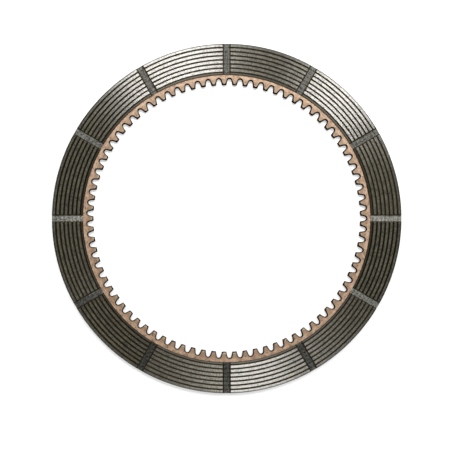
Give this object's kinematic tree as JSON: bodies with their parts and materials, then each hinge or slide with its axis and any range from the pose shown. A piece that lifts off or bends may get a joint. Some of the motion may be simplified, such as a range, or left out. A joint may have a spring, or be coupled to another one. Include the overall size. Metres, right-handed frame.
{
  "type": "clutch friction disc",
  "caption": "Flat ring-shaped clutch friction disc: a thin metal core with internal teeth and a grooved sintered lining with radial oil channels bonded to each face.",
  "frame": {"origin": "on the disc's axis, half way through its thickness", "axes": "+Z along the axis, out of the front face; +X and +Y along two of the radial oil channels, 90 degrees apart"},
  "size_m": [0.3299, 0.33, 0.005],
  "materials": {
    "core": "steel with a thin matt copper coat, darker on the cut edges of the teeth",
    "lining": "grey-green sintered bronze, turned on its lands and dark in its grooves"
  },
  "bodies": {
    "root": {"core_plate": "core", "front_lining": "lining", "back_lining": "lining"}
  },
  "joints": []
}
